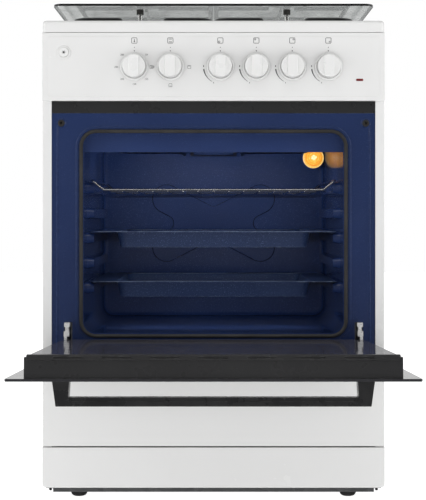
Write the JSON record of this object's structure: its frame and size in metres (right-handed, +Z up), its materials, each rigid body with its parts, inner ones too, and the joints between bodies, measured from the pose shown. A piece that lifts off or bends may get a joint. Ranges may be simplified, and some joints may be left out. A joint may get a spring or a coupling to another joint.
{
  "type": "freestanding gas range",
  "caption": "Freestanding gas cooker with electric oven: hob with pan supports under a glass lid, drop-down oven door, control knobs and a storage drawer.",
  "frame": {"origin": "floor level, centre of the bounding box's footprint with the oven door open", "axes": "+X to the right seen from the front, +Y from the door to the back panel, +Z up"},
  "size_m": [0.6, 1.0596, 0.875],
  "materials": {
    "white_enamel": "gloss enamel",
    "blue_enamel": "gloss vitreous enamel",
    "black_enamel": "matt enamel",
    "dark_trim": "satin",
    "galvanised": "zinc plated",
    "zinc_hinge": "bright zinc",
    "chrome_wire": "bright",
    "aluminium": "cast",
    "brass": "turned",
    "black_plastic": "moulded",
    "white_plastic": "moulded",
    "red_lens": "clear red",
    "dark_glass": "tempered, tinted",
    "clear_glass": "tempered",
    "lamp_glass": "amber heat-proof",
    "rubber_seal": "matt",
    "mineral_wool": "fibrous",
    "ceramic": "glazed ceramic",
    "element_steel": "heat-darkened"
  },
  "bodies": {
    "cabinet": {"side_panel_left": "white_enamel", "side_panel_right": "white_enamel", "back_panel": "galvanised", "base_pan": "galvanised", "drawer_runners": "galvanised", "adjustable_feet": "black_plastic", "plinth_panel": "white_enamel", "lower_crossrail": "white_enamel", "oven_front_frame": "blue_enamel", "oven_liner": "blue_enamel", "oven_back_wall": "blue_enamel", "oven_insulation": "mineral_wool", "oven_gasket": "rubber_seal", "door_buffers": "rubber_seal", "vent_trim": "dark_trim", "trim_screws": "dark_trim", "control_panel": "white_enamel", "indicator_lens": "red_lens", "hob_top": "white_enamel", "burner_cups": "aluminium", "burner_caps": "black_enamel", "burner_electrodes": "ceramic", "pan_supports": "black_enamel", "gas_manifold": "galvanised", "gas_valves": "aluminium", "burner_tubes": "aluminium", "oven_controls": "black_plastic", "heating_elements": "element_steel", "oven_lamp_lens": "lamp_glass", "oven_lamp_holder": "ceramic", "hinge_receivers": "galvanised", "lid_hinge_brackets": "galvanised", "terminal_box": "black_plastic"},
    "door": {"door_outer_glass": "dark_glass", "door_inner_glass": "dark_glass", "door_frame": "dark_trim", "door_top_trim": "dark_trim", "door_handle": "black_plastic", "door_hinge_arms": "zinc_hinge"},
    "lid": {"lid_glass": "clear_glass", "lid_hinge_clamps": "galvanised", "lid_bumpers": "rubber_seal"},
    "drawer": {"drawer_front": "white_enamel", "drawer_box": "galvanised"},
    "shelf": {"wire_shelf": "chrome_wire"},
    "tray_upper": {"baking_tray_upper": "blue_enamel"},
    "tray_lower": {"baking_tray_lower": "blue_enamel"},
    "thermostat": {"thermostat_knob": "white_plastic", "thermostat_spindle": "galvanised"},
    "selector": {"selector_knob": "white_plastic", "selector_spindle": "galvanised"},
    "igniter": {"ignition_button": "white_plastic"},
    "knob_front_left": {"burner_knob_front_left": "white_plastic"},
    "plug_front_left": {"tap_plug_front_left": "brass"},
    "knob_rear_left": {"burner_knob_rear_left": "white_plastic"},
    "plug_rear_left": {"tap_plug_rear_left": "brass"},
    "knob_rear_right": {"burner_knob_rear_right": "white_plastic"},
    "plug_rear_right": {"tap_plug_rear_right": "brass"},
    "knob_front_right": {"burner_knob_front_right": "white_plastic"},
    "plug_front_right": {"tap_plug_front_right": "brass"}
  },
  "joints": [
    {"name": "oven_door", "type": "hinge", "parent": "cabinet", "child": "door", "pos_m": [0, -0.10216, 0.27], "axis": [1, 0, 0], "range_deg": [-87.5, 0]},
    {"name": "glass_lid", "type": "hinge", "parent": "cabinet", "child": "lid", "pos_m": [0, 0.49084, 0.86], "axis": [-1, 0, 0], "range_deg": [0, 93]},
    {"name": "storage_drawer", "type": "slide", "parent": "cabinet", "child": "drawer", "axis": [0, -1, 0], "range_m": [0, 0.36]},
    {"name": "wire_shelf_slide", "type": "slide", "parent": "cabinet", "child": "shelf", "axis": [0, -1, 0], "range_m": [0, 0.25]},
    {"name": "upper_tray_slide", "type": "slide", "parent": "cabinet", "child": "tray_upper", "axis": [0, -1, 0], "range_m": [0, 0.25]},
    {"name": "lower_tray_slide", "type": "slide", "parent": "cabinet", "child": "tray_lower", "axis": [0, -1, 0], "range_m": [0, 0.25]},
    {"name": "thermostat_turn", "type": "hinge", "parent": "cabinet", "child": "thermostat", "pos_m": [-0.1386, -0.09216, 0.7592], "axis": [0, 1, 0], "range_deg": [0, 315]},
    {"name": "selector_turn", "type": "hinge", "parent": "cabinet", "child": "selector", "pos_m": [-0.0755, -0.09216, 0.7592], "axis": [0, 1, 0], "range_deg": [0, 270]},
    {"name": "igniter_push", "type": "slide", "parent": "cabinet", "child": "igniter", "axis": [0, 1, 0], "range_m": [0, 0.003], "stiffness_N_per_m": 800},
    {"name": "tap_front_left_turn", "type": "hinge", "parent": "cabinet", "child": "plug_front_left", "pos_m": [0.012, -0.09216, 0.7592], "axis": [0, -1, 0], "range_deg": [0, 200]},
    {"name": "tap_front_left_push", "type": "slide", "parent": "plug_front_left", "child": "knob_front_left", "axis": [0, 1, 0], "range_m": [0, 0.003], "stiffness_N_per_m": 800},
    {"name": "tap_rear_left_turn", "type": "hinge", "parent": "cabinet", "child": "plug_rear_left", "pos_m": [0.075, -0.09216, 0.7592], "axis": [0, -1, 0], "range_deg": [0, 200]},
    {"name": "tap_rear_left_push", "type": "slide", "parent": "plug_rear_left", "child": "knob_rear_left", "axis": [0, 1, 0], "range_m": [0, 0.003], "stiffness_N_per_m": 800},
    {"name": "tap_rear_right_turn", "type": "hinge", "parent": "cabinet", "child": "plug_rear_right", "pos_m": [0.1379, -0.09216, 0.7592], "axis": [0, -1, 0], "range_deg": [0, 200]},
    {"name": "tap_rear_right_push", "type": "slide", "parent": "plug_rear_right", "child": "knob_rear_right", "axis": [0, 1, 0], "range_m": [0, 0.003], "stiffness_N_per_m": 800},
    {"name": "tap_front_right_turn", "type": "hinge", "parent": "cabinet", "child": "plug_front_right", "pos_m": [0.2011, -0.09216, 0.7592], "axis": [0, -1, 0], "range_deg": [0, 200]},
    {"name": "tap_front_right_push", "type": "slide", "parent": "plug_front_right", "child": "knob_front_right", "axis": [0, 1, 0], "range_m": [0, 0.003], "stiffness_N_per_m": 800}
  ]
}
